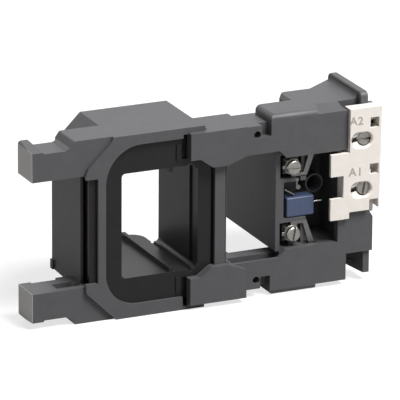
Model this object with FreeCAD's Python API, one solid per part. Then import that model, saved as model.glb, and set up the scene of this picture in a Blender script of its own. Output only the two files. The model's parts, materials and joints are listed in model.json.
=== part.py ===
import FreeCAD, Part
import math
import os

from FreeCAD import Vector

# Spare coil of a large contactor: a moulded body with two arms, a wound bobbin and a terminal housing.
# Working frame in millimetres: X runs along the body from the left flank, Y runs back from the
# bezel's front face, Z runs up from the mid-plane. Every solid is moved to the part's frame when saved.

# Clearances and walls that several pieces share
fit = 0.2
slip = 0.1
shell_wall = 1.2
tube_wall = 1.5
tube_round = 2.5
flange_thickness = 1.6
housing_wall = 1.6
cover_wall = 1.4

# Half-heights, measured from the mid-plane
body_half_height = 37.5
window_half_height = 21.5
inner_terminal_z = 13.9
housing_half_height = inner_terminal_z + 6.8
bar_inner_half = housing_half_height + 1.5
bar_half_height = body_half_height - 2.1
arm_outer_half = body_half_height - 3.5
arm_inner_half = 22.8
bezel_top_half = body_half_height - 4.2
bezel_bottom_half = body_half_height - 5.3
flange_half_height = body_half_height - 4.1
lip_half = bar_inner_half - 3.1

# Depths, measured back from the bezel's front face
bezel_thickness = 1.5
frame_front = 1.4
frame_depth = 15.1
frame_back = frame_front + frame_depth
winding_depth = 19.0
winding_back = frame_back + winding_depth
pad_front = -2.5

# Winding housing and bobbin, from left to right
shell_left = 4.6
window_inset = 15.2
window_left = shell_left + window_inset
window_width = 31.8
window_right = window_left + window_width
post_left = window_right + 7.4
post_right = post_left + 4.4
shell_right = post_right + 2.4
shell_chamfer = 12.0
left_slot_back = 7.0
right_slot_back = 4.2
rear_cover_thickness = 1.6
clip_height = 3.8
clip_rise = 0.8
clip_depth = 2.4

# Bezel: its slanted left corners, the round corners of its opening and its two slots
bezel_left = 4.1
bezel_slant = 11.6
bezel_upper_round = 4.0
bezel_notch = bezel_left + 5.1
bezel_notch_half = arm_inner_half - 1.4
bezel_opening_left = 12.5
opening_upper_round = 15.2
opening_lower_round = 13.7
slot_width = 2.2
slot_top_skin = 2.7
slot_bottom_skin = 1.3

# Arms
arm_reach = 18.0
arm_back = frame_front + 13.0
arm_head_length = 4.0
arm_head_rise = 1.9
arm_head_front_rise = 0.6
arm_head_ramp = 1.0
arm_head_back = arm_back + 1.2
arm_head_round = 1.4
arm_pocket_length = 11.0
arm_pocket_width = 5.2
arm_pocket_depth = 4.0
arm_pocket_front = frame_front + 3.2
shoulder_reach = 4.2
shoulder_width = 2.2
shoulder_rise = 1.0
shoulder_lean = 0.7

# Pads, necks and pockets of the two bars
pad_left = window_right - 4.1
pad_right = shell_right + 6.0
pad_corner_half = bar_inner_half + 2.3
pad_bulge_half = bar_inner_half - 1.6
pad_end_half = bar_inner_half + 1.4
pad_bulge_left = window_right + 5.4
pad_bulge_right = post_right + 0.2
pad_bulge_round = 4.0
pad_round = 1.6
neck_length = 12.0
neck_half_height = bar_half_height - 1.6
neck_back = frame_front + 12.8
web_back = frame_front + 13.6
web_thickness = 2.0
pocket_right = pad_right + neck_length
pocket_left = pocket_right - 4.2
pocket_depth = 3.8
pocket_inner_half = neck_half_height - 4.8
pilot_hole = 3.0
pilot_hole_x = pocket_left - 1.8
pilot_hole_half = neck_half_height - 3.6
groove_left = shell_right + 2.2
groove_right = pocket_right + 5.1
groove_front = frame_front + 1.6
groove_width = 5.8
groove_depth = 4.4

# Raised block, rear shelf and grip on the upper right
housing_left = pocket_right + 3.8
bar_end_length = 29.6
bars_end = housing_left + bar_end_length
block_length = 20.1
block_flare = 2.9
block_round = 2.2
block_bend = frame_front + 9.1
shelf_front = frame_front + 6.6
shelf_left = pocket_right + 14.2
shelf_back = frame_back + 10.9
shelf_corner = 2.8
shelf_thickness = 3.0
shelf_bevel = 1.5
shelf_bend = shelf_left + 14.8
slope_end = 1.6
grip_left = bars_end + 7.2
grip_thickness = 3.6
grip_right = grip_left + grip_thickness
grip_back = shelf_back + 8.0
grip_top = body_half_height + 3.3
grip_round = 2.4
grip_edge_round = 0.8
lip_left = pocket_right + 3.7
lip_depth = 3.4
bar_core_left = bars_end - 20.0
bar_core_pitch = 6.4
bar_core_wall = 2.0
bar_core_front = frame_front + 3.0
bar_core_count = 3

# Upstand and foot at the lower right end of the body
upstand_left = bars_end - 3.8
upstand_right = bars_end + 11.6
upstand_bottom = -lip_half - 5.4
upstand_bevel = 3.4
upstand_round = 1.4
upstand_back = frame_front + lip_depth
foot_left = grip_left + 1.0
foot_flare = 1.7
foot_front = frame_front + 1.2
foot_depth = 12.0
peg_size = 1.2
peg_rise = 2.0
peg_setback = 2.4

# Terminal housing
housing_right = bars_end + 11.4
housing_front = frame_front + lip_depth + fit
housing_depth = 50.0
housing_back = housing_front + housing_depth
terminal_column = upstand_left + 2.6
column_front = housing_front + 0.1
column_depth = 25.0
column_top = body_half_height - shelf_thickness - fit
column_bottom = upstand_bottom + 2.1
bay_depth = 19.0
recess_left = housing_left + 1.9
recess_width = 10.0
recess_inner_half = inner_terminal_z - 4.7
recess_depth = 6.0
boss_half = 3.3
seat_depth = 1.6
cup_x = upstand_left - 5.6
cup_z = 3.2
cup_radius = 3.9
cup_wall = 0.6
cup_height = 12.0
pin_slot_width = 2.0
pin_slot_depth = 3.2
rail_width = 1.6
ear_depth = 4.2
ear_height = 16.0
lid_rim = 1.2
lid_rim_depth = 2.4

# Terminal cover
cover_front = -0.5
cover_depth = 5.4
cover_main = bars_end + fit
cover_waist = cover_main - 2.7
cover_left = cover_main - 8.3
cover_width = 13.8
cover_right = cover_main + cover_width
cover_top = body_half_height - 1.4
cover_tab_top = lip_half - 0.9
cover_tab_bottom = -9.2
cover_bottom = -6.6
cover_step_top = 9.0
cover_step_bottom = -0.2
cover_right_draft = 0.6
opening_x = cover_main + 5.2
opening_width = 8.9
opening_height = 6.0
opening_bevel = 0.5
notch_width = 3.9
notch_right = cover_right - 1.1
notch_height = 4.3

# Terminals: M3.5 cheese head screws, clamp washers and square nuts
screw_diameter = 3.5
screw_head_diameter = 6.0
screw_head_height = 2.3
screw_head_round = 0.4
screw_length = 11.0
screw_slot = 0.9
screw_slot_depth = 1.0
slot_turns = [100, 4]
nut_width = 6.0
nut_thickness = 2.4
nut_setback = 3.1
inner_terminal_x = recess_left + 5.3
outer_terminal_x = cover_main + 7.0
upper_outer_z = cover_top - 13.2
lower_outer_z = 2.2
plate_thickness = 0.8
plate_reach = 5.0
plate_half = 2.7
bridge_width = 1.2
outer_plate_half = 3.7
washer_width = 6.6
washer_thickness = 0.9
washer_lug = 0.9
washer_lug_half = 0.7
tail_top_width = 1.9
tail_foot_width = 2.7
tail_left = recess_left + 10.2
tail_slant = 3.3

# Suppressor and the bare pin above it
suppressor_width = 12.0
suppressor_height = 8.0
suppressor_depth = 5.8
suppressor_left = inner_terminal_x - 1.9
suppressor_bottom = -7.6
suppressor_front = housing_front + 0.8
suppressor_round = 0.5
suppressor_pocket = suppressor_depth + 4.0
suppressor_gap = 1.8
lead_diameter = 0.8
lead_depth = 1.8
lead_foot = 4.0
lead_rise = 3.2
pin_x = inner_terminal_x + 2.7
pin_bottom = 3.9
pin_length = 4.6
pin_diameter = 1.1
pin_head = 1.3
bead_radius = 0.9

# Winding, its tape and its two leads
winding_inset = 2.2
winding_gap = 0.4
tape_thickness = 0.4
tape_margin = 0.6
lead_duct_y = groove_front + 3.8
lead_duct_z = bar_inner_half + 3.2
flying_lead_diameter = 2.0

# Ribs and tongues of the bobbin
tube_back = winding_back + 2.3
tongue_back = tube_back + 12.2
tongue_margin = 2.8
tongue_round = 6.0
tongue_step = 0.3
guide_rib_x = 20.2
guide_rib_width = 1.6
guide_rib_height = 1.8
side_groove_left = window_width - 3.8
side_groove_width = 1.8
side_groove_depth = 0.7
wall_recess_depth = 0.7
wall_recess_length = 6.5
hook_width = 1.8
hook_margin = 2.8
hook_rise = 0.5
hook_gap = 0.6
post_gap = 1.1
skin = 0.4

# Places that several pieces share
flange_left = shell_left + shell_wall + fit
flange_right = shell_right - shell_wall - fit
flange_front = bezel_thickness + slip / 2
flange_back = winding_back - rear_cover_thickness - slip
tube_left = window_left - tube_wall
tube_right = window_right + tube_wall
tube_half = window_half_height + tube_wall
seat = housing_front + seat_depth
outer_seat = column_front + slip
grip_front = cover_front + cover_depth + fit
recess_right = recess_left + recess_width
suppressor_right = suppressor_left + suppressor_width
suppressor_top = suppressor_bottom + suppressor_height
bay_half = housing_half_height - housing_wall

# The part's own origin: the middle of the box, on the ground
origin = Vector((cover_right - arm_reach) / 2, (housing_back + pad_front) / 2, -body_half_height)


def box(x0, x1, y0, y1, z0, z1):
    """Box between two X, two Y and two Z planes, given in any order."""
    low = Vector(min(x0, x1), min(y0, y1), min(z0, z1))
    return Part.makeBox(abs(x1 - x0), abs(y1 - y0), abs(z1 - z0), low)


def plate(points, y0, y1, rounds=()):
    """Prism from an outline in the X-Z plane, between two depths, with (corner, radius) rounds."""
    corners = [Vector(x, y0, z) for x, z in points]
    face = Part.Face(Part.makePolygon(corners + corners[:1]))
    solid = face.extrude(Vector(0, y1 - y0, 0))
    for number, radius in rounds:
        x, z = points[number]
        solid = solid.makeFillet(radius, [e for e in solid.Edges if along_y(e) and near(e, x, z)])
    return solid


def slab(points, z0, z1):
    """Prism from an outline in the X-Y plane, between two heights."""
    corners = [Vector(x, y, z0) for x, y in points]
    face = Part.Face(Part.makePolygon(corners + corners[:1]))
    return face.extrude(Vector(0, 0, z1 - z0))


def gable(points, x0, x1):
    """Prism from an outline in the Y-Z plane, between two X."""
    corners = [Vector(x0, y, z) for y, z in points]
    return Part.Face(Part.makePolygon(corners + corners[:1])).extrude(Vector(x1 - x0, 0, 0))


def rod(x, z, radius, y0, y1):
    """Round bar along Y."""
    return Part.makeCylinder(radius, y1 - y0, Vector(x, y0, z), Vector(0, 1, 0))


def rounded(x0, x1, z0, z1, radii, y0, y1):
    """Prism with round corners, radii in the order lower left, lower right, upper right, upper left."""
    corners = [(x0, z0), (x1, z0), (x1, z1), (x0, z1)]
    return plate(corners, y0, y1, [(i, radius) for i, radius in enumerate(radii) if radius > 0])


def along_y(edge):
    """True for a straight edge that runs along Y."""
    first, last = edge.Vertexes[0].Point, edge.Vertexes[-1].Point
    return abs(first.x - last.x) < 1e-6 and abs(first.z - last.z) < 1e-6 and edge.Length > 1e-6


def near(edge, x, z):
    """True for an edge whose first end lies at the given X and Z."""
    point = edge.Vertexes[0].Point
    return abs(point.x - x) < 1e-6 and abs(point.z - z) < 1e-6


def edges_at(solid, test):
    """Edges of a solid whose middle point passes a test."""
    chosen = []
    for edge in solid.Edges:
        middle = edge.valueAt((edge.FirstParameter + edge.LastParameter) / 2)
        if test(middle):
            chosen.append(edge)
    return chosen


def fuse(solids):
    """One solid from pieces that touch or overlap."""
    return solids[0].multiFuse(solids[1:]).removeSplitter()


def mirrored(solid):
    """Copy of a solid on the other side of the mid-plane."""
    return solid.mirror(Vector(0, 0, 0), Vector(0, 0, 1))


def arm():
    """Upper arm: raised end that rises to the back, and ramp up to the shoulder."""
    top, step = arm_outer_half, arm_outer_half + shoulder_rise
    bar = plate([(-arm_reach, arm_inner_half), (window_left, arm_inner_half), (window_left, step),
                 (shoulder_width - shoulder_reach, step), (-shoulder_reach, top), (-arm_reach, top)],
                frame_front, arm_back)
    left, flat_end = -arm_reach, arm_head_length - arm_reach
    crest = top + arm_head_rise
    head = box(left, flat_end + arm_head_ramp, frame_front, arm_head_back, arm_inner_half, crest)
    head = head.makeFillet(arm_head_round, edges_at(head, lambda p: p.x < left + 0.01 and p.z > top + 1))
    above = gable([(frame_front, top + arm_head_front_rise), (arm_head_back, crest),
                   (arm_head_back, body_half_height), (frame_front, body_half_height)],
                  left - 1, left + arm_reach)
    ramp = plate([(flat_end, crest), (flat_end + arm_head_ramp, top),
                  (flat_end + arm_head_ramp + 1, top), (flat_end + arm_head_ramp + 1, body_half_height),
                  (flat_end, body_half_height)], 0, arm_head_back + 1)
    return bar.fuse(head.cut(above).cut(ramp))


def arm_pocket():
    """Long pocket in the inner face of the upper arm, with a round right end."""
    back, end = arm_pocket_front + arm_pocket_width, shell_left - fit
    radius = arm_pocket_width / 2
    low, high = arm_inner_half - 1, arm_inner_half + arm_pocket_depth
    hollow = box(end - arm_pocket_length, end - radius, arm_pocket_front, back, low, high)
    centre = Vector(end - radius, arm_pocket_front + radius, low)
    return hollow.fuse(Part.makeCylinder(radius, high - low, centre))


def shoulder():
    """Part of the body that joins the upper arm to the winding housing, behind the bezel."""
    step = body_half_height - arm_outer_half - shoulder_rise
    left = shoulder_width - shoulder_reach
    top, ramp = body_half_height, step * shoulder_lean
    outline = [(left, arm_inner_half), (left, top - step), (left + ramp, top), (pad_left, top),
               (pad_left, bezel_top_half), (window_left, bezel_top_half), (window_left, arm_inner_half)]
    return plate(outline, frame_front, frame_back, [(2, shoulder_rise)])


def pad_outline(outer):
    """Outline of the pad, with its bulge towards the window and round corners."""
    points = [(pad_left, outer), (pad_right, outer), (pad_right, pad_end_half),
              (pad_bulge_right, pad_bulge_half), (pad_bulge_left, pad_bulge_half),
              (window_right, pad_corner_half), (pad_left, pad_corner_half)]
    rounds = [(3, pad_bulge_round), (4, pad_round), (5, pad_round)]
    return points, rounds


def pad():
    """Thick pad of the upper bar, proud of the bezel."""
    points, rounds = pad_outline(bar_half_height)
    return plate(points, pad_front, frame_back, rounds)


def upper_bar():
    """Upper bar from the pad to the right end: neck with a pilot hole, pocket and lip."""
    top, web = bar_half_height, bar_inner_half + web_thickness
    bar = box(pad_left, bars_end, frame_front, frame_back, bar_inner_half, top)
    bar = bar.cut(box(pad_right, pocket_right, neck_back, frame_back, web, top))
    bar = bar.cut(box(pad_right, pocket_right, 0, frame_back, neck_half_height, top))
    bar = bar.cut(box(pad_right, bars_end, web_back, frame_back, bar_inner_half, web))
    pocket = box(pocket_left, pocket_right, frame_front, frame_front + pocket_depth,
                 pocket_inner_half, top)
    hole = rod(pilot_hole_x, pilot_hole_half, pilot_hole / 2, 0, frame_back)
    bar = bar.cut(pocket).cut(hole)
    ramp_end = lip_left + bar_inner_half - lip_half
    lip = plate([(lip_left, bar_inner_half + slip), (ramp_end, lip_half), (bars_end, lip_half),
                 (bars_end, bar_inner_half + slip)], frame_front, frame_front + lip_depth)
    return bar.fuse(lip)


def lead_groove():
    """Open groove in the upper bar's inner face, in which the winding's lead lies."""
    return box(groove_left, groove_right, groove_front, groove_front + groove_width,
               pad_bulge_half - 1, bar_inner_half + groove_depth)


def bar_cores():
    """Pockets that lighten the right end of the upper bar from behind, with ribs between them."""
    cores = []
    for number in range(bar_core_count):
        left = bar_core_left + number * bar_core_pitch
        cores.append(box(left, left + bar_core_pitch - bar_core_wall, bar_core_front, frame_back + 1,
                         bar_inner_half + bar_core_wall, bar_half_height - bar_core_wall))
    return cores


def block():
    """Raised block on the upper bar, right of its pocket, with rounded front and left edges."""
    right = pocket_right + block_length
    outline = [(pocket_right, frame_front), (right, frame_front), (right + block_flare, block_bend),
               (right + block_flare, frame_back), (pocket_right, frame_back)]
    raised = slab(outline, bar_half_height - shelf_thickness, body_half_height)
    left_edge = edges_at(raised, lambda p: p.x < pocket_right + 0.01 and p.z > body_half_height - 0.01)
    front_edge = edges_at(raised, lambda p: p.y < frame_front + 0.01 and p.z > body_half_height - 0.01)
    return raised.makeFillet(block_round, left_edge + front_edge)


def shelf():
    """Shelf that runs on from the raised block, behind the bar, and carries the grip."""
    outline = [(shelf_left, frame_back - 1), (shelf_left, shelf_back - shelf_corner),
               (shelf_left + shelf_corner, shelf_back), (shelf_bend, shelf_back), (grip_left, grip_back),
               (grip_right, grip_back), (grip_right, shelf_front), (shelf_bend, shelf_front),
               (pocket_right + block_length, block_bend), (pocket_right + block_length, frame_back - 1)]
    top = slab(outline, body_half_height - shelf_thickness, body_half_height)
    side = edges_at(top, lambda p: p.x < shelf_left + 0.01 and p.z > body_half_height - 0.01)
    return top.makeChamfer(shelf_bevel, side)


def bar_slope():
    """Slope from the upper bar's front edge up to the shelf, right of the raised block."""
    left, right = pocket_right + block_length - 1, bars_end - slope_end
    return gable([(frame_front, bar_half_height - 1), (frame_front, bar_half_height),
                  (shelf_front, body_half_height), (frame_back, body_half_height),
                  (frame_back, bar_half_height - 1)], left, right)


def grip():
    """Upright grip for the fingers at the right end, with a hollow curve up from the shelf."""
    bottom = body_half_height - shelf_thickness
    fin = box(grip_left, grip_right, grip_front, grip_back, bottom, grip_top)
    middle = (grip_left + grip_right) / 2
    ends = edges_at(fin, lambda p: p.z > grip_top - 0.01 and abs(p.x - middle) < 1)
    fin = fin.makeFillet(grip_round, ends)
    low, high = grip_front + grip_round, grip_back - grip_round
    crest = edges_at(fin, lambda p: p.z > grip_top - 0.01 and low < p.y < high)
    fin = fin.makeFillet(grip_edge_round, crest)
    curve = box(grip_left - grip_round, grip_left, shelf_front, high, body_half_height - slip,
                body_half_height + grip_round)
    hollow = rod(grip_left - grip_round, body_half_height + grip_round, grip_round, 0, grip_back + 1)
    return fin.fuse(curve.cut(hollow))


def shell():
    """Walls of the winding housing, open to the back, with large chamfers and two clips."""
    walls = plate(shell_outline(0), frame_front, winding_back)
    walls = walls.cut(plate(shell_outline(shell_wall), 0, winding_back))
    left_slot = box(0, shell_left + shell_wall, 0, left_slot_back, -arm_inner_half, arm_inner_half)
    half = pad_bulge_half
    right_slot = box(shell_right - shell_wall, bars_end, 0, right_slot_back, -half, half)
    walls = walls.cut(left_slot).cut(right_slot)
    corner = body_half_height - shell_chamfer
    for side in (-1, 1):
        clip = box(shell_left - clip_rise, shell_left + shell_wall / 2, winding_back - clip_depth,
                   winding_back, side * corner, side * (corner - clip_height))
        walls = walls.fuse(clip)
    return walls


def corner_radius(left, top):
    """Least corner radius that keeps a rounded outline clear of the housing's chamfered walls."""
    inner_left, inner_top = shell_left + shell_wall, body_half_height - shell_wall
    cut = shell_chamfer - shell_wall * (2 - math.sqrt(2)) + fit * math.sqrt(2)
    room = (left - inner_left) + (inner_top - top)
    return (cut - room) / (2 - math.sqrt(2))


def shell_outline(inset):
    """Eight-sided outline of the winding housing, moved inwards by a wall."""
    left, right = shell_left + inset, shell_right - inset
    top = body_half_height - inset
    cut = shell_chamfer - inset * (2 - math.sqrt(2))
    return [(left, -top + cut), (left + cut, -top), (right - cut, -top), (right, -top + cut),
            (right, top - cut), (right - cut, top), (left + cut, top), (left, top - cut)]


def bezel():
    """Front bezel with slanted left corners, which holds the bobbin's front flange."""
    right, top = window_right + tube_wall * 2, body_half_height
    knee, bend = top - bezel_slant, bezel_left + bezel_slant
    upper = plate([(bezel_left, 0), (right, 0), (right, top), (bend, top),
                   (bend - shoulder_rise, top - shoulder_width), (bezel_left + shoulder_rise, knee),
                   (bezel_left, knee - shoulder_width)],
                  0, bezel_thickness, [(4, bezel_upper_round), (5, shoulder_width)])
    lower = plate([(bezel_left, 0), (bezel_left, -knee + shoulder_rise), (bend + shoulder_rise, -top),
                   (right, -top), (right, 0)], 0, bezel_thickness, [(1, shoulder_width)])
    notch = box(0, bezel_notch, -1, bezel_thickness + 1, -bezel_notch_half, bezel_notch_half)
    return fuse([upper, lower]).cut(notch)


def bezel_opening():
    """Opening of the bezel with large left corners, and the slots beside the two pads."""
    opening = rounded(bezel_opening_left, post_left, -bezel_bottom_half, bezel_top_half,
                      [opening_lower_round, 0, 0, opening_upper_round], -1, bezel_thickness + 0.01)
    slots = box(pad_left - slot_width, pad_left, -1, bezel_thickness + 0.01,
                -body_half_height + slot_bottom_skin, body_half_height - slot_top_skin)
    return opening.fuse(slots)


def post():
    """Upright bar of the bezel between the two pads."""
    return box(post_left, post_right, 0, bezel_thickness, -bar_inner_half, bar_inner_half)


def upstand():
    """Upstand on the lower bar's right end, which stands in front of the terminal housing."""
    tab = cover_tab_bottom - fit * 2
    top = cover_bottom - fit
    outline = [(upstand_left, tab), (cover_main + fit, tab), (cover_main + fit, top),
               (upstand_right - shoulder_width, top), (upstand_right, top - upstand_bevel),
               (upstand_right, upstand_bottom), (bars_end - 1, upstand_bottom),
               (upstand_left, -lip_half - 1)]
    return plate(outline, frame_front, upstand_back, [(6, upstand_round)])


def foot():
    """Foot under the upstand, with a slanted side and a small peg on it."""
    back = foot_front + foot_depth
    outline = [(foot_left, foot_front), (grip_right + slip, foot_front), (grip_right + slip, back),
               (foot_left - foot_flare, back)]
    leg = slab(outline, -arm_outer_half, upstand_bottom + 1)
    left = foot_left - foot_flare - peg_size / 2
    peg = box(left, foot_left, back - peg_setback - peg_size, back - peg_setback,
              -arm_outer_half + peg_rise, -arm_outer_half + peg_rise + peg_size)
    return leg.fuse(peg)


def coil_body():
    """Moulded body: arms, bezel, winding housing, bars, blocks, shelf, grip and foot."""
    bar = upper_bar().fuse(block())
    for core in bar_cores():
        bar = bar.cut(core)
    half = fuse([arm(), shoulder(), bar, pad()])
    hollow = plate(shell_outline(shell_wall), bezel_thickness, winding_back)
    half = half.cut(hollow).cut(lead_groove()).cut(arm_pocket())
    body = fuse([half, mirrored(half), shell(), bezel(), shelf(), bar_slope(), grip(), upstand(), foot()])
    body = body.cut(bezel_opening()).fuse(post())
    for side in (-1, 1):
        body = body.cut(lead_route(side, flying_lead_diameter / 2 + fit))
    return fuse([body, front_pad(), mirrored(front_pad())])


def front_pad():
    """The part of a pad that lies in the plane of the bezel, beside its slots."""
    points, rounds = pad_outline(bar_half_height)
    return plate(points, pad_front, bezel_thickness, rounds)


def lead_route(side, radius):
    """Way of a winding lead: along the bar, then towards the mid-plane into the terminal housing."""
    start = Vector(winding_outer() + tape_thickness + slip, lead_duct_y, side * lead_duct_z)
    bend = Vector(inner_terminal_x, lead_duct_y, side * lead_duct_z)
    along = Part.makeCylinder(radius, bend.x - start.x, start, Vector(1, 0, 0))
    drop = lead_duct_z - inner_terminal_z - boss_half - fit
    down = Part.makeCylinder(radius, drop, bend, Vector(0, 0, -side))
    return fuse([along, Part.makeSphere(radius, bend), down])


def bobbin():
    """Bobbin: a rectangular tube with two flanges, tongues at the back and guide ribs in its window."""
    solid = rounded(tube_left, tube_right, -tube_half, tube_half, [tube_round] * 4, flange_front,
                    tube_back)
    radius = corner_radius(flange_left, flange_half_height) + fit
    for y0 in (flange_front, flange_back - flange_thickness):
        solid = solid.fuse(rounded(flange_left, flange_right, -flange_half_height, flange_half_height,
                                   [radius] * 4, y0, y0 + flange_thickness))
    solid = solid.fuse(tongue(1)).fuse(tongue(-1))
    window = rounded(window_left, window_right, -window_half_height, window_half_height, [tube_wall] * 4,
                     0, tube_back + 1)
    solid = solid.cut(window)
    rib_left, groove = window_left + guide_rib_x, window_left + side_groove_left
    rib_right, groove_right_side = rib_left + guide_rib_width, groove + side_groove_width
    for side in (-1, 1):
        low = side * window_half_height
        tongue_face = low + side * tongue_step
        solid = solid.fuse(box(rib_left, rib_right, flange_front, tube_back, low + side * fit,
                               low - side * guide_rib_height))
        solid = solid.fuse(box(rib_left, rib_right, tube_back - 1, tongue_back - guide_rib_height,
                               tongue_face + side * fit, low - side * guide_rib_height))
        solid = solid.cut(box(groove, groove_right_side, 0, tube_back + 1, low - side,
                              low + side * side_groove_depth))
    for cut in flange_recesses():
        solid = solid.cut(cut)
    return fuse([solid] + flange_hooks())


def tongue(side):
    """Flat tongue of the bobbin's tube, behind the winding housing."""
    left, right = window_left + tongue_margin, window_right - tongue_margin
    outline = [(left, tube_back - 1), (right, tube_back - 1), (right, tongue_back), (left, tongue_back)]
    z0 = side * (window_half_height + tongue_step)
    low, high = min(z0, side * tube_half), max(z0, side * tube_half)
    sheet = slab(outline, low, high)
    corners = edges_at(sheet, lambda p: p.y > tongue_back - 0.01 and not left + 1 < p.x < right - 1)
    return sheet.makeFillet(tongue_round, corners)


def flange_recesses():
    """Shallow recesses of the front flange and of the window's right wall."""
    floor = flange_front + flange_thickness - skin
    half = pad_bulge_half - fit
    gap = box(post_left - post_gap, post_left + fit, 0, floor, -half, half)
    recess_half = window_half_height - guide_rib_height
    wall = box(window_right - 1, window_right + wall_recess_depth, 0, flange_front + wall_recess_length,
               -recess_half, recess_half)
    slots = []
    for side in (-1, 1):
        slots.append(box(pad_left - slot_width, pad_left + slip, 0, floor, side * (tube_half + tube_wall),
                         side * body_half_height))
    return [gap, wall] + slots


def flange_hooks():
    """Small raised tabs on the front flange, left of the slots."""
    tabs = []
    right = pad_left - slot_width - hook_gap
    for side in (-1, 1):
        tabs.append(box(right - hook_width, right, flange_front - hook_rise, flange_front + slip,
                        side * (tube_half + 1), side * (flange_half_height - hook_margin)))
    return tabs


def winding():
    """Copper turns as one closed ring round the bobbin's tube."""
    inner_half = tube_half + slip
    left, right = tube_left - slip, tube_right + slip
    build = winding_build()
    y0, y1 = flange_front + flange_thickness + slip, flange_back - flange_thickness - slip
    height = flange_half_height - winding_gap
    radius = corner_radius(left - build, height) + winding_inset
    outer = rounded(left - build, right + build, -height, height, [radius] * 4, y0, y1)
    inner = rounded(left, right, -inner_half, inner_half, [tube_round] * 4, y0 - 1, y1 + 1)
    return outer.cut(inner)


def winding_build():
    """Depth of the copper on the tube's flanks."""
    return tube_left - slip - flange_left - winding_inset


def winding_outer():
    """X of the winding's right flank."""
    return tube_right + slip + winding_build()


def winding_tape():
    """Insulating wrap round the winding."""
    ring = winding().BoundBox
    low, high = ring.YMin + tape_margin, ring.YMax - tape_margin
    wrap = tape_thickness
    radius = corner_radius(ring.XMin, ring.ZMax) + winding_inset
    outer = rounded(ring.XMin - wrap, ring.XMax + wrap, -ring.ZMax - wrap, ring.ZMax + wrap,
                    [radius + wrap] * 4, low, high)
    inner = rounded(ring.XMin, ring.XMax, -ring.ZMax, ring.ZMax, [radius] * 4, low - 1, high + 1)
    return outer.cut(inner)


def rear_cover():
    """Flat cover that closes the winding housing round the bobbin's tube, with a rib above and below."""
    y0 = winding_back - rear_cover_thickness
    panel = plate(shell_outline(shell_wall + fit), y0, winding_back)
    hole = rounded(tube_left - fit, tube_right + fit, -tube_half - fit, tube_half + fit, [tube_round] * 4,
                   y0 - 1, winding_back + 1)
    panel = panel.cut(hole)
    for side in (-1, 1):
        panel = panel.fuse(box(window_left, window_right, winding_back - slip, winding_back + shell_wall,
                               side * (tube_half + 1), side * (tube_half + 1 + tube_wall)))
    return panel.removeSplitter()


def terminal_stack(seat_y):
    """Depths of a clamp screw's parts in front of a seat: plate, washer and head."""
    plate_front = seat_y - plate_thickness
    washer_front = plate_front - washer_thickness
    return plate_front, washer_front, washer_front - screw_head_height


def screw(x, z, seat_y, turn):
    """Slotted cheese head screw, with its head in front of a washer."""
    plate_front, washer_front, head_front = terminal_stack(seat_y)
    head = rod(x, z, screw_head_diameter / 2, head_front, washer_front)
    head = head.makeChamfer(screw_head_round, edges_at(head, lambda p: p.y < head_front + 0.01))
    slot = box(-screw_diameter, screw_diameter, -1, screw_slot_depth, -screw_slot / 2, screw_slot / 2)
    slot.rotate(Vector(0, 0, 0), Vector(0, 1, 0), turn)
    slot.translate(Vector(x, head_front, z))
    shank = rod(x, z, screw_diameter / 2, washer_front, washer_front + screw_length)
    return head.cut(slot).fuse(shank).removeSplitter()


def washer(x, z, seat_y, turn):
    """Round clamp washer with a small lug that keeps it from turning."""
    plate_front, washer_front, head_front = terminal_stack(seat_y)
    disc = rod(x, z, washer_width / 2, washer_front, plate_front)
    lug = box(x - washer_width / 2 - washer_lug, x, washer_front, plate_front, z - washer_lug_half,
              z + washer_lug_half)
    hole = rod(x, z, screw_diameter / 2, washer_front - 1, plate_front + 1)
    return disc.fuse(lug).cut(hole).removeSplitter()


def nut(x, z, seat_y, turn):
    """Square nut, some way behind the seat."""
    half, front = nut_width / 2, seat_y + nut_setback
    blank = box(x - half, x + half, front, front + nut_thickness, z - half, z + half)
    return blank.cut(rod(x, z, screw_diameter / 2, front - 1, front + nut_thickness + 1))


def inner_seats():
    """Places of the two inner terminals: X, Z, the depth of the seat and the turn of the slot."""
    heights = (-inner_terminal_z, inner_terminal_z)
    return [(inner_terminal_x, z, seat, turn) for z, turn in zip(heights, slot_turns)]


def outer_seats():
    """Places of the two outer terminals: X, Z, the depth of the seat and the turn of the slot."""
    heights = (lower_outer_z, upper_outer_z)
    return [(outer_terminal_x, z, outer_seat, turn) for z, turn in zip(heights, slot_turns)]


def inner_plate(side):
    """Inner terminal plate on its boss, with a tail that slants away from the mid-plane."""
    z_mid, near_z = side * inner_terminal_z, recess_inner_half + fit
    far_z, foot = housing_half_height - fit, tail_left + tail_slant
    front = seat - plate_thickness
    left, right = inner_terminal_x - plate_half, inner_terminal_x + plate_half
    sheet = box(left, right, front, seat, z_mid - plate_half, z_mid + plate_half)
    link = box(inner_terminal_x, right, front, seat, side * near_z, z_mid)
    bridge = box(inner_terminal_x, tail_left + bridge_width, front, seat, side * near_z,
                 side * (near_z + bridge_width))
    strip = plate([(tail_left, side * near_z), (foot, side * far_z),
                   (foot + tail_foot_width, side * far_z), (tail_left + tail_top_width, side * near_z)],
                  front, seat)
    hole = rod(inner_terminal_x, z_mid, screw_diameter / 2 + slip, 0, seat + 1)
    return fuse([sheet, link, bridge, strip]).cut(hole)


def outer_plate(x, z, seat_y, turn):
    """Outer terminal plate, bent back at its left side."""
    front = seat_y - plate_thickness
    half = outer_plate_half
    sheet = box(x - half - plate_thickness, x + half, front, seat_y, z - half, z + half)
    bend = box(x - half - plate_thickness, x - half, front, seat_y + plate_reach, z - half, z + half)
    hole = rod(x, z, screw_diameter / 2 + slip, 0, seat_y + 1)
    return sheet.fuse(bend).cut(hole).removeSplitter()


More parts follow.
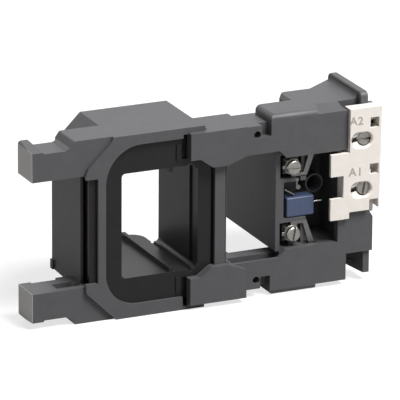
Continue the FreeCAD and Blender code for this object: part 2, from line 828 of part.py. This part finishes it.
def terminal_housing():
    """Moulded housing of the terminals, behind the bars, with rails that run between them."""
    half = housing_half_height
    solid = box(housing_left, bars_end, housing_front, housing_back, -half, half)
    right = box(bars_end - 1, housing_right, column_front, housing_back, -half, half)
    column = box(bars_end + fit, housing_right, column_front, column_front + column_depth, column_bottom,
                 column_top)
    ear = box(housing_right - fit, cover_right - fit, column_front, column_front + ear_depth,
              bar_half_height - ear_height, bar_half_height)
    rails = []
    for side in (-1, 1):
        for x in (recess_left, recess_right + rail_width * 2):
            rails.append(box(x, x + rail_width, housing_front, web_back, side * (half - 1),
                             side * (bar_inner_half - fit)))
    return cut_bays(fuse([solid, right, column, ear] + rails))


def cut_bays(solid):
    """Recesses, bays, wells and holes of the terminal housing."""
    bay_left, bay_back = recess_right + cover_wall, housing_front + bay_depth
    low, high = suppressor_bottom - fit, recess_inner_half - housing_wall
    pocket_back = suppressor_front + suppressor_pocket
    pocket = box(suppressor_left - suppressor_gap, recess_right, 0, pocket_back, low, high)
    opening = box(recess_right - 1, bay_left + 1, 0, pocket_back, low, high)
    bay = box(bay_left, terminal_column, 0, bay_back, -bay_half, bay_half)
    rear = box(housing_left + housing_wall, housing_right - housing_wall, column_front + column_depth,
               housing_back + 1, -bay_half, bay_half)
    half_slot = pin_slot_width / 2
    pin_slot = box(pin_x - half_slot, pin_x + half_slot, 0, housing_front + pin_slot_depth, high - 1,
                   recess_inner_half + 1)
    solid = solid.cut(pocket).cut(bay).cut(opening).cut(rear).cut(pin_slot)
    for side in (-1, 1):
        solid = solid.cut(inner_recess(side)).fuse(inner_boss(side))
        solid = solid.cut(tail_slot(side)).cut(lead_route(side, flying_lead_diameter / 2 + fit))
    for x, z, seat_y, turn in outer_seats():
        half, bend = outer_plate_half + fit, outer_plate_half + plate_thickness + fit
        edge, floor = outer_plate_half - fit, seat_y + plate_reach + fit
        solid = solid.cut(box(x - bend, x + half, 0, seat_y, z - half, z + half))
        solid = solid.cut(box(x - bend, x - edge, 0, floor, z - half, z + half))
    for place in inner_seats() + outer_seats():
        solid = solid.cut(screw_space(*place))
    cup = rod(cup_x, cup_z, cup_radius, bay_back - cup_height, bay_back + slip)
    cup = cup.cut(rod(cup_x, cup_z, cup_radius - cup_wall, 0, bay_back))
    return solid.fuse(cup).removeSplitter()


def inner_recess(side):
    """Recess round an inner terminal."""
    return box(recess_left, recess_right, 0, housing_front + recess_depth, side * recess_inner_half,
               side * bay_half)


def inner_boss(side):
    """Square boss that carries an inner terminal's plate and holds its nut."""
    x, z = inner_terminal_x, side * inner_terminal_z
    return box(x - boss_half, x + boss_half, seat, housing_front + recess_depth + slip, z - boss_half,
               z + boss_half)


def tail_slot(side):
    """Slot for the tail of an inner terminal's plate, in the wall beside the recess."""
    near_z, right = recess_inner_half - slip, tail_left + tail_slant + tail_foot_width + fit
    wall = box(inner_terminal_x, recess_right + cover_wall + 1, 0, seat + slip, side * near_z,
               side * bay_half)
    edge = box(tail_left, right, 0, seat + slip, side * (bay_half - 1), side * housing_half_height)
    return wall.fuse(edge)


def screw_space(x, z, seat_y, turn):
    """Bore for a screw's shank with the pocket that holds its nut."""
    bore = rod(x, z, screw_diameter / 2 + slip, 0, seat_y + screw_length)
    half, front = nut_width / 2 + slip, seat_y + nut_setback - slip
    return bore.fuse(box(x - half, x + half, front, front + nut_thickness + fit, z - half, z + half))


def housing_lid():
    """Flat lid that closes the back of the terminal housing, with a shallow rim inside."""
    half = bay_half - fit
    x0, x1 = housing_left + housing_wall + fit, housing_right - housing_wall - fit
    front = housing_back - housing_wall
    lid = box(x0, x1, front, housing_back, -half, half)
    rim = box(x0, x1, front - lid_rim_depth, front, -half, half)
    inside = box(x0 + lid_rim, x1 - lid_rim, 0, housing_back, -half + lid_rim, half - lid_rim)
    return lid.fuse(rim.cut(inside)).removeSplitter()


def terminal_cover():
    """Pale cover of the outer terminals, with thin tabs, two long openings and three square notches."""
    back, wall_back, wall = cover_front + cover_depth, cover_front + cover_wall, cover_wall
    left, tab, waist, right = cover_main, cover_left, cover_waist, cover_right
    draft_right, low = cover_right - cover_right_draft, cover_bottom + cover_right_draft
    inner_right = draft_right - wall
    front = [(left, cover_top), (right, cover_top), (draft_right, low), (notch_right, low),
             (notch_right - notch_width, cover_bottom), (left, cover_bottom), (left, cover_tab_bottom),
             (tab, cover_tab_bottom), (tab, cover_step_bottom), (waist, cover_step_bottom),
             (waist, cover_step_top), (tab, cover_step_top), (tab, cover_tab_top), (left, cover_tab_top)]
    tabs = plate(front, cover_front, wall_back)
    main = plate([(left, cover_top), (right, cover_top), (draft_right, low), (waist, low),
                  (waist, cover_tab_top - fit), (left, cover_tab_top - fit)], cover_front, back)
    hollow = plate([(left + wall, cover_top - wall), (inner_right, cover_top - wall),
                    (inner_right, low + wall), (waist + wall, low + wall),
                    (waist + wall, cover_tab_top - wall), (left + wall, cover_tab_top - wall)],
                   wall_back, back + 1)
    solid = tabs.fuse(main).cut(hollow)
    for z in (lower_outer_z, upper_outer_z):
        solid = solid.cut(obround(z, 0, cover_front - 1, wall_back + 1))
        solid = solid.cut(opening_funnel(z))
    tops = (cover_top - notch_height, (upper_outer_z + lower_outer_z) / 2, cover_bottom + notch_height)
    for z in tops:
        solid = solid.cut(box(notch_right - notch_width, notch_right, cover_front - 1, back + 1,
                              z - notch_height, z))
    return solid.removeSplitter()


def obround(z, grow, y0, y1):
    """Long round-ended prism round an outer terminal."""
    radius = opening_height / 2 + grow
    half = (opening_width - opening_height) / 2
    ends = [rod(opening_x - half, z, radius, y0, y1), rod(opening_x + half, z, radius, y0, y1)]
    return fuse(ends + [box(opening_x - half, opening_x + half, y0, y1, z - radius, z + radius)])


def opening_funnel(z):
    """Bevel round a long opening of the cover."""
    half = (opening_width - opening_height) / 2
    radius = opening_height / 2
    along = Vector(0, 1, 0)
    cones = []
    for x in (opening_x - half, opening_x + half):
        base = Vector(x, cover_front, z)
        cones.append(Part.makeCone(radius + opening_bevel, radius, opening_bevel, base, along))
    points = [Vector(opening_x - half, cover_front, z - radius - opening_bevel),
              Vector(opening_x - half, cover_front, z + radius + opening_bevel),
              Vector(opening_x - half, cover_front + opening_bevel, z + radius),
              Vector(opening_x - half, cover_front + opening_bevel, z - radius)]
    face = Part.Face(Part.makePolygon(points + points[:1]))
    return fuse(cones + [face.extrude(Vector(half * 2, 0, 0))])


def suppressor():
    """Moulded suppressor block between the two inner terminals."""
    solid = box(suppressor_left, suppressor_right, suppressor_front, suppressor_front + suppressor_depth,
                suppressor_bottom, suppressor_top)
    front = edges_at(solid, lambda p: p.y < suppressor_front + suppressor_depth - 0.01)
    return solid.makeFillet(suppressor_round, front)


def wire(points, radius):
    """Round wire along straight runs, with a ball at each bend."""
    pieces = []
    for first, last in zip(points[:-1], points[1:]):
        run = last.sub(first)
        pieces.append(Part.makeCylinder(radius, run.Length, first, run))
    pieces += [Part.makeSphere(radius, point) for point in points[1:-1]]
    return fuse(pieces)


def suppressor_leads():
    """Two wire leads of the suppressor, one to each side."""
    y, top = suppressor_front + lead_depth, suppressor_top
    foot, rise = suppressor_left + lead_foot, suppressor_top + lead_rise
    first = wire([Vector(foot, y, top), Vector(foot, y, top + lead_diameter),
                  Vector(suppressor_left, y, rise), Vector(suppressor_left, y + lead_rise, rise)],
                 lead_diameter / 2)
    z, end = top - lead_rise, suppressor_right + lead_foot
    second = wire([Vector(suppressor_right, y, z), Vector(end, y, z), Vector(end, y + lead_rise, z)],
                  lead_diameter / 2)
    return Part.makeCompound([first, second])


def end_pin():
    """Bare pin at the inner end of the upper terminal, with a square head and a soldered foot."""
    radius, half = pin_diameter / 2, pin_head / 2
    y, top = housing_front + pin_slot_depth / 2, pin_bottom + pin_length
    pin = Part.makeCylinder(radius, pin_length, Vector(pin_x, y, pin_bottom), Vector(0, 0, 1))
    head = box(pin_x - half, pin_x + half, y - half, y + half, top - pin_head, top)
    bead = rod(pin_x + radius, pin_bottom + pin_head / 2, bead_radius, y - radius, y + radius)
    return fuse([pin, head, bead])


def group(maker, places):
    """Like pieces at several places, as separate solids of one node."""
    return Part.makeCompound([maker(*place) for place in places])


def save(name, shape):
    """Moves a piece to the part's frame and writes its file."""
    placed = shape.copy()
    placed.translate(origin.negative())
    placed.exportStep("parts/" + name + ".step")
    print(name, len(placed.Solids), placed.isValid(), round(placed.Volume, 1))


os.makedirs("parts", exist_ok=True)
save("coil_body", coil_body())
save("bobbin", bobbin())
save("winding", winding())
save("winding_tape", winding_tape())
save("rear_cover", rear_cover())
save("terminal_housing", terminal_housing())
save("housing_lid", housing_lid())
save("terminal_cover", terminal_cover())
save("inner_plate_lower", inner_plate(-1))
save("inner_plate_upper", inner_plate(1))
save("outer_plates", group(outer_plate, outer_seats()))
save("inner_screws", group(screw, inner_seats()))
save("outer_screws", group(screw, outer_seats()))
save("inner_washers", group(washer, inner_seats()))
save("outer_washers", group(washer, outer_seats()))
save("nuts", group(nut, inner_seats() + outer_seats()))
save("suppressor", suppressor())
save("suppressor_leads", suppressor_leads())
save("end_pin", end_pin())
save("winding_lead_lower", lead_route(-1, flying_lead_diameter / 2))
save("winding_lead_upper", lead_route(1, flying_lead_diameter / 2))
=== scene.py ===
import json
import math
import bpy
from mathutils import Matrix, Vector


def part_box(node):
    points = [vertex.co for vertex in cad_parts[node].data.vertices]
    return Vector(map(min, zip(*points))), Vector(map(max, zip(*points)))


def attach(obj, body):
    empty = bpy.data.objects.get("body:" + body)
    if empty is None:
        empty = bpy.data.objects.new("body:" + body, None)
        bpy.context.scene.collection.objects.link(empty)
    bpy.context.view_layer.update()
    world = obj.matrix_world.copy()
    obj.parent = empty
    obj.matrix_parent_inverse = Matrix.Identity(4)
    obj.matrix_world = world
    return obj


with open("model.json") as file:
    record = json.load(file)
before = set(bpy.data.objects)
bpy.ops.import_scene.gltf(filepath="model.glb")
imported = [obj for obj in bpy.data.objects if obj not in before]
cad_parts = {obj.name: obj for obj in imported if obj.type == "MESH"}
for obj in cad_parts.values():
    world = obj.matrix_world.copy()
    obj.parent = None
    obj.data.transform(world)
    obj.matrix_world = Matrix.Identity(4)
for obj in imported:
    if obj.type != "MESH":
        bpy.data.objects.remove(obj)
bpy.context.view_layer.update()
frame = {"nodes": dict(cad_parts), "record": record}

# Looks, camera and light of a spare contactor coil, whose shapes come from the frame

# Camera: turn, tilt and roll of the view, its distance and how far it sees in metres
VIEW_TURN = math.radians(24.600)
VIEW_TILT = math.radians(18.655)
VIEW_ROLL = math.radians(0.395)
VIEW_DISTANCE = 1.99674
VIEW_REACH = 50.0
# Focal length and width of the picture in pixels, and width of the sensor in millimetres
FOCAL_PIXELS = 5047.98
PICTURE_PIXELS = 400
SENSOR_WIDTH = 36.0
# The point that the camera looks at, in the part's frame
AIM = Vector((0.00505, -0.00625, 0.03722))

# Colours under the plain studio light, red, green and blue in sRGB
GREY = (80, 80, 82)
# Painted light: the arms' end faces get this pale colour in place of the light they catch from the left
ARM_END_PAINTED_LIGHT = (212, 210, 207)
BLACK = (33, 31, 31)
CREAM = (240, 233, 226)
COPPER = (150, 82, 48)
TAPE = (74, 62, 54)
TIN = (132, 130, 128)
ZINC = (168, 166, 161)
BLUE = (72, 84, 112)
SLEEVE = (48, 46, 46)
MARK = (178, 172, 166)

# Moulded looks: colour, roughness, specular level, mottle as a share of the colour, height of the grain
GREY_LOOK = (GREY, 0.5, 0.5, 0.06, 0.00006)
MARK_LOOK = (MARK, 0.5, 0.35, 0.03, 0.00002)
MOULDED_SLOTS = {
    "black_plastic": (BLACK, 0.36, 0.3, 0.08, 0.00003),
    "insulating_tape": (TAPE, 0.45, 0.4, 0.12, 0.00008),
    "cream_plastic": (CREAM, 0.5, 0.35, 0.03, 0.00005),
    "blue_resin": (BLUE, 0.35, 0.5, 0.05, 0.00004),
    "lead_sleeve": (SLEEVE, 0.6, 0.4, 0.1, 0.00008),
}
# Metal looks: colour, roughness, height of the scratches
METAL_SLOTS = {
    "copper_wire": (COPPER, 0.35, 0.00003),
    "tinned_strip": (TIN, 0.42, 0.00002),
    "zinc_steel": (ZINC, 0.36, 0.00002),
    "tinned_wire": (TIN, 0.35, 0.00001),
}

# Scales of the mottle and the grain, where a larger one is finer
GREY_MOTTLE_SCALE = 260
MOTTLE_SCALE = 300
METAL_MOTTLE_SCALE = 900
GRAIN_SCALE = 2600
SCRATCH_SCALE = 5200
MOTTLE_DETAIL = 4.0
GRAIN_DETAIL = 2.0
# Part of the noise over which the mottle goes from dark to light, the metals' mottle, the bump's strength
MOTTLE_LOW, MOTTLE_HIGH = 0.3, 0.7
METAL_MOTTLE = 0.10
GRAIN_STRENGTH = 0.3

# Rounding of the edges: its width on plastic and metal, its steps and the least angle of an edge that
# gets it; corners nearer than the weld distance are joined first
PLASTIC_EDGE = 0.00018
METAL_EDGE = 0.00008
EDGE_SEGMENTS = 2
EDGE_ANGLE = math.radians(35)
WELD_DISTANCE = 0.000002

# The arms' end faces lie left of this X; they are painted paler than the rest of the moulding, painted
# light that stands in for the light they catch from the left
ARM_END_LIGHT_X = -0.0745

# Terminal cover: its front face, right edge and top edge, from which its details are placed
cover_low, cover_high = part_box("terminal_cover")
COVER_FRONT = cover_low[1]
COVER_RIGHT = cover_high[0]
COVER_TOP = cover_high[2]

# Marks on the cover: text, and how far its left end and its foot lie from the cover's right and top edges
MARKS = [("A", 0.0141, 0.0065), ("2", 0.0106, 0.0067), ("A", 0.0142, 0.0276), ("1", 0.0106, 0.0278)]
MARK_HEIGHT = 0.0033
MARK_THICKNESS = 0.00004
MARK_WEIGHT = 0.00012
# A capital letter's share of its font's size
CAPITAL_SHARE = 0.7

# The cover's two long openings: their middles, width and height
OPENING_X = COVER_RIGHT - 0.0086
OPENING_HEIGHTS = [COVER_TOP - 0.0132, COVER_TOP - 0.0339]
OPENING_WIDTH = 0.0089
OPENING_HEIGHT = 0.0060

# Funnel from each opening to a round eye at the screw head: the eye's middle and radius, the depths of
# the two ends, the bulge between them, and the turns between which it is open for the washer's lug
EYE_X = COVER_RIGHT - 0.00715
EYE_RADIUS = 0.0030
FUNNEL_FRONT = COVER_FRONT + 0.0003
FUNNEL_BACK = COVER_FRONT + 0.0015
FUNNEL_BULGE = 0.0006
FUNNEL_RINGS = 4
FUNNEL_STEPS = 48
LUG_START, LUG_END = math.radians(150), math.radians(188)

# Inner wall behind the three notches of the cover's right edge: its sides, front and thickness, and how
# far the lower and upper end of each piece lie below the cover's top
NOTCH_LEFT = COVER_RIGHT - 0.0046
NOTCH_RIGHT = COVER_RIGHT - 0.0011
NOTCH_FRONT = COVER_FRONT + 0.00455
NOTCH_THICKNESS = 0.0006
NOTCH_ENDS = [(0.0068, 0.0016), (0.0276, 0.0224), (0.0451, 0.0379)]

# Floor and world: half the floor's side, the floor's own grey, the white that the camera adds to it, the
# share of that white which metal shows, and the strength of the world's light on the part
FLOOR_HALF = 3.0
FLOOR_GREY = 0.35
FLOOR_WHITE = 0.72
FLOOR_MIRRORED = 0.12
WORLD_LIGHT = 0.1

# Square lamps: name, place, side, power in watts, and whether glossy surfaces show it
LAMPS = [("key_lamp", (0.46, -0.72, 1.36), 0.7, 36, True),
         ("rear_lamp", (0.50, 1.50, 0.75), 0.9, 12, False)]
LAMP_AIM = (0, 0, 0.03)


def linear(colour):
    """Linear colour from sRGB values of 0 to 255."""
    parts = []
    for value in colour:
        c = value / 255
        parts.append(c / 12.92 if c <= 0.04045 else ((c + 0.055) / 1.055) ** 2.4)
    return (*parts, 1.0)


def scaled(colour, factor):
    """Linear colour made lighter or darker by a factor."""
    return (*(min(1.0, c * factor) for c in colour[:3]), 1.0)


def new_material(name, colour, roughness, metallic=0.0, specular=0.5):
    """Plain shader with a colour, a roughness and a specular level."""
    material = bpy.data.materials.new(name)
    material.use_nodes = True
    shader = material.node_tree.nodes["Principled BSDF"]
    shader.inputs["Base Color"].default_value = linear(colour)
    shader.inputs["Roughness"].default_value = roughness
    shader.inputs["Metallic"].default_value = metallic
    shader.inputs["Specular IOR Level"].default_value = specular
    return material


def noise(material, scale, detail):
    """Noise texture in the part's own coordinates."""
    nodes, links = material.node_tree.nodes, material.node_tree.links
    place = nodes.new("ShaderNodeTexCoord")
    texture = nodes.new("ShaderNodeTexNoise")
    texture.inputs["Scale"].default_value = scale
    texture.inputs["Detail"].default_value = detail
    links.new(place.outputs["Object"], texture.inputs["Vector"])
    return texture


def add_mottle(material, colour, scale, share):
    """Slight uneven lightness of a surface, by a share of its colour; returns the colour's socket."""
    nodes, links = material.node_tree.nodes, material.node_tree.links
    ramp = nodes.new("ShaderNodeValToRGB")
    base = linear(colour)
    dark, light = ramp.color_ramp.elements
    dark.position, light.position = MOTTLE_LOW, MOTTLE_HIGH
    dark.color, light.color = scaled(base, 1 - share), scaled(base, 1 + share)
    links.new(noise(material, scale, MOTTLE_DETAIL).outputs["Fac"], ramp.inputs["Fac"])
    links.new(ramp.outputs["Color"], nodes["Principled BSDF"].inputs["Base Color"])
    return ramp.outputs["Color"]


def add_grain(material, scale, height):
    """Fine grain of a surface as a bump, its height in metres."""
    nodes, links = material.node_tree.nodes, material.node_tree.links
    bump = nodes.new("ShaderNodeBump")
    bump.inputs["Distance"].default_value = height
    bump.inputs["Strength"].default_value = GRAIN_STRENGTH
    links.new(noise(material, scale, GRAIN_DETAIL).outputs["Fac"], bump.inputs["Height"])
    links.new(bump.outputs["Normal"], nodes["Principled BSDF"].inputs["Normal"])


def moulding(name, colour, roughness, specular, mottle, grain):
    """Moulded plastic with a mottle and a fine grain."""
    material = new_material(name, colour, roughness, specular=specular)
    add_mottle(material, colour, MOTTLE_SCALE, mottle)
    add_grain(material, GRAIN_SCALE, grain)
    return material


def metal(name, colour, roughness, grain):
    """Bare or plated metal with fine scratches."""
    material = new_material(name, colour, roughness, metallic=1.0)
    add_mottle(material, colour, METAL_MOTTLE_SCALE, METAL_MOTTLE)
    add_grain(material, SCRATCH_SCALE, grain)
    return material


def colour_socket(sockets, name):
    """The colour socket of that name, on a node that has one of each kind."""
    return [s for s in sockets if s.name == name and s.type == "RGBA"][0]


def grey_plastic():
    """Dark grey moulding with a fine grain, and painted light on the arms' end faces, a paler colour that
    stands in for the light they catch from the left.
    """
    colour, roughness, specular, mottle, grain = GREY_LOOK
    material = new_material("grey_plastic_look", colour, roughness, specular=specular)
    nodes, links = material.node_tree.nodes, material.node_tree.links
    moulded = add_mottle(material, colour, GREY_MOTTLE_SCALE, mottle)
    add_grain(material, GRAIN_SCALE, grain)
    place = nodes.new("ShaderNodeTexCoord")
    parts = nodes.new("ShaderNodeSeparateXYZ")
    links.new(place.outputs["Object"], parts.inputs["Vector"])
    # Painted light: left of that X the arms' end faces take the pale colour in place of lamp light
    painted_light_at_end = nodes.new("ShaderNodeMath")
    painted_light_at_end.operation = "LESS_THAN"
    painted_light_at_end.inputs[1].default_value = ARM_END_LIGHT_X
    links.new(parts.outputs["X"], painted_light_at_end.inputs[0])
    mix = nodes.new("ShaderNodeMix")
    mix.data_type = "RGBA"
    links.new(painted_light_at_end.outputs["Value"], mix.inputs["Factor"])
    links.new(moulded, colour_socket(mix.inputs, "A"))
    colour_socket(mix.inputs, "B").default_value = linear(ARM_END_PAINTED_LIGHT)
    links.new(colour_socket(mix.outputs, "Result"), nodes["Principled BSDF"].inputs["Base Color"])
    return material


def slot_materials():
    """The look of each material slot of the record."""
    looks = {"grey_plastic": grey_plastic()}
    for slot, values in MOULDED_SLOTS.items():
        looks[slot] = moulding(slot + "_look", *values)
    for slot, values in METAL_SLOTS.items():
        looks[slot] = metal(slot + "_look", *values)
    return looks


def dress_nodes(looks):
    """Gives each node the look of the slot that the record names for it, and softens its edges."""
    for row in frame["record"]["subparts"]:
        node, slot = frame["nodes"][row["node"]], row["material_slot"]
        for place in node.material_slots:
            place.material = looks[slot]
        weld = node.modifiers.new("weld", "WELD")
        weld.merge_threshold = WELD_DISTANCE
        edge = node.modifiers.new("edge", "BEVEL")
        edge.width = METAL_EDGE if slot in METAL_SLOTS else PLASTIC_EDGE
        edge.segments = EDGE_SEGMENTS
        edge.limit_method = "ANGLE"
        edge.angle_limit = EDGE_ANGLE
        edge.harden_normals = True


def add_to_cover(piece):
    """Links a detail of the terminal cover, which rides on the part."""
    bpy.context.collection.objects.link(piece)
    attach(piece, "root")


def add_marks():
    """Terminal marks on the cover, thin letters that stand on its front."""
    look = moulding("mark_look", *MARK_LOOK)
    for number, (letter, from_right, from_top) in enumerate(MARKS):
        text = bpy.data.curves.new("terminal_mark_%d" % number, "FONT")
        text.body = letter
        text.size = MARK_HEIGHT / CAPITAL_SHARE
        text.extrude = MARK_THICKNESS
        text.offset = MARK_WEIGHT
        text.materials.append(look)
        piece = bpy.data.objects.new("terminal_mark_%d" % number, text)
        piece.rotation_euler = (math.radians(90), 0, 0)
        piece.location = (COVER_RIGHT - from_right, COVER_FRONT, COVER_TOP - from_top)
        add_to_cover(piece)


def funnel_ring(middle, turns, share):
    """Points of a funnel's wall, at a share of the way from the cover's opening to the screw's eye."""
    half, reach = OPENING_HEIGHT / 2, (OPENING_WIDTH - OPENING_HEIGHT) / 2
    bulge = Vector((0, (share - share * share) * FUNNEL_BULGE, 0))
    ring = []
    for turn in turns:
        across, up = math.cos(turn), math.sin(turn)
        side = reach if across > 0 else -reach
        rim = Vector((OPENING_X + side + half * across, FUNNEL_FRONT, middle + half * up))
        eye = Vector((EYE_X + EYE_RADIUS * across, FUNNEL_BACK, middle + EYE_RADIUS * up))
        ring.append(rim.lerp(eye, share) + bulge)
    return ring


def ring_mesh(name, rings, skip):
    """Smooth mesh from rings of as many points each; the columns of faces in skip are left out."""
    count = len(rings[0])
    faces = []
    for row in range(len(rings) - 1):
        near, far = row * count, (row + 1) * count
        for i in range(count):
            j = (i + 1) % count
            if i not in skip:
                faces.append((near + i, near + j, far + j, far + i))
    mesh = bpy.data.meshes.new(name)
    mesh.from_pydata([v for ring in rings for v in ring], [], faces)
    for face in mesh.polygons:
        face.use_smooth = True
    return mesh


def add_funnels(look):
    """Sloping walls from the cover's long openings to the screw heads."""
    turns = [2 * math.pi * i / FUNNEL_STEPS for i in range(FUNNEL_STEPS)]
    lug = {i for i, turn in enumerate(turns) if LUG_START < turn < LUG_END}
    for number, middle in enumerate(OPENING_HEIGHTS):
        name = "cover_funnel_%d" % number
        rings = [funnel_ring(middle, turns, i / (FUNNEL_RINGS - 1)) for i in range(FUNNEL_RINGS)]
        mesh = ring_mesh(name, rings, lug)
        mesh.materials.append(look)
        add_to_cover(bpy.data.objects.new(name, mesh))


def add_notch_backs(look):
    """Shaded inner wall of the cover behind each notch in its right edge."""
    ends = [(0, 1, 2, 3), (7, 6, 5, 4)]
    sides = [(i, i + 4, (i + 1) % 4 + 4, (i + 1) % 4) for i in range(4)]
    for number, (lower, upper) in enumerate(NOTCH_ENDS):
        name = "cover_notch_back_%d" % number
        low, high = COVER_TOP - lower, COVER_TOP - upper
        corners = [(NOTCH_LEFT, low), (NOTCH_RIGHT, low), (NOTCH_RIGHT, high), (NOTCH_LEFT, high)]
        depths = (NOTCH_FRONT, NOTCH_FRONT + NOTCH_THICKNESS)
        mesh = bpy.data.meshes.new(name)
        mesh.from_pydata([(x, y, z) for y in depths for x, z in corners], [], ends + sides)
        mesh.materials.append(look)
        add_to_cover(bpy.data.objects.new(name, mesh))


def add_camera():
    """Puts the camera where the photograph was taken from."""
    look = Vector((math.sin(VIEW_TURN) * math.cos(VIEW_TILT), math.cos(VIEW_TURN) * math.cos(VIEW_TILT),
                   -math.sin(VIEW_TILT)))
    right = Vector((math.cos(VIEW_TURN), -math.sin(VIEW_TURN), 0))
    up = right.cross(look)
    side = right * math.cos(VIEW_ROLL) + up * math.sin(VIEW_ROLL)
    top = up * math.cos(VIEW_ROLL) - right * math.sin(VIEW_ROLL)
    camera = bpy.data.cameras.new("camera")
    camera.sensor_width = SENSOR_WIDTH
    camera.sensor_fit = "HORIZONTAL"
    camera.lens = FOCAL_PIXELS / PICTURE_PIXELS * SENSOR_WIDTH
    camera.clip_end = VIEW_REACH
    holder = bpy.data.objects.new("camera", camera)
    place = Matrix((side, top, -look)).transposed().to_4x4()
    place.translation = AIM - look * VIEW_DISTANCE
    holder.matrix_world = place
    bpy.context.collection.objects.link(holder)
    bpy.context.scene.camera = holder


def seen_directly(tree, mirrored):
    """Socket that is 1 for the camera, a share for metal and glass, and 0 for light on the part."""
    path = tree.nodes.new("ShaderNodeLightPath")
    total = path.outputs["Is Camera Ray"]
    for name in ("Is Glossy Ray", "Is Transmission Ray"):
        share = tree.nodes.new("ShaderNodeMath")
        share.operation = "MULTIPLY"
        share.inputs[1].default_value = mirrored
        tree.links.new(path.outputs[name], share.inputs[0])
        more = tree.nodes.new("ShaderNodeMath")
        more.operation = "MAXIMUM"
        tree.links.new(total, more.inputs[0])
        tree.links.new(share.outputs["Value"], more.inputs[1])
        total = more.outputs["Value"]
    return total


def add_floor():
    """Plain pale floor that reads as white and still takes the part's shadow."""
    half = FLOOR_HALF
    corners = [(-half, -half, 0), (half, -half, 0), (half, half, 0), (-half, half, 0)]
    mesh = bpy.data.meshes.new("floor")
    mesh.from_pydata(corners, [], [(0, 1, 2, 3)])
    floor = bpy.data.objects.new("floor", mesh)
    bpy.context.collection.objects.link(floor)
    material = bpy.data.materials.new("floor_look")
    material.use_nodes = True
    tree = material.node_tree
    shader = tree.nodes["Principled BSDF"]
    shader.inputs["Base Color"].default_value = (FLOOR_GREY, FLOOR_GREY, FLOOR_GREY, 1)
    shader.inputs["Roughness"].default_value = 1.0
    shader.inputs["Specular IOR Level"].default_value = 0.0
    shader.inputs["Emission Color"].default_value = (1, 1, 1, 1)
    strength = tree.nodes.new("ShaderNodeMath")
    strength.operation = "MULTIPLY"
    strength.inputs[1].default_value = FLOOR_WHITE
    tree.links.new(seen_directly(tree, FLOOR_MIRRORED), strength.inputs[0])
    tree.links.new(strength.outputs["Value"], shader.inputs["Emission Strength"])
    mesh.materials.append(material)


def add_world():
    """Dim plain light from all round, and a white background."""
    world = bpy.data.worlds.new("world")
    bpy.context.scene.world = world
    world.use_nodes = True
    tree = world.node_tree
    background = tree.nodes["Background"]
    background.inputs["Color"].default_value = (1, 1, 1, 1)
    strength = tree.nodes.new("ShaderNodeMapRange")
    strength.inputs["To Min"].default_value = WORLD_LIGHT
    strength.inputs["To Max"].default_value = 1.0
    tree.links.new(seen_directly(tree, 1.0), strength.inputs["Value"])
    tree.links.new(strength.outputs["Result"], background.inputs["Strength"])


def add_lamp(name, place, side, power, mirrored):
    """Soft square lamp that shines on the part, and may show in glossy surfaces."""
    lamp = bpy.data.lights.new(name, "AREA")
    lamp.energy = power
    lamp.size = side
    holder = bpy.data.objects.new(name, lamp)
    direction = Vector(LAMP_AIM) - Vector(place)
    holder.rotation_euler = direction.to_track_quat("-Z", "Y").to_euler()
    holder.location = place
    holder.visible_glossy = mirrored
    bpy.context.collection.objects.link(holder)


materials = slot_materials()
dress_nodes(materials)
add_marks()
add_funnels(materials["cream_plastic"])
add_notch_backs(materials["cream_plastic"])
add_camera()
add_floor()
add_world()
for lamp in LAMPS:
    add_lamp(*lamp)
bpy.context.scene.view_settings.view_transform = "Standard"
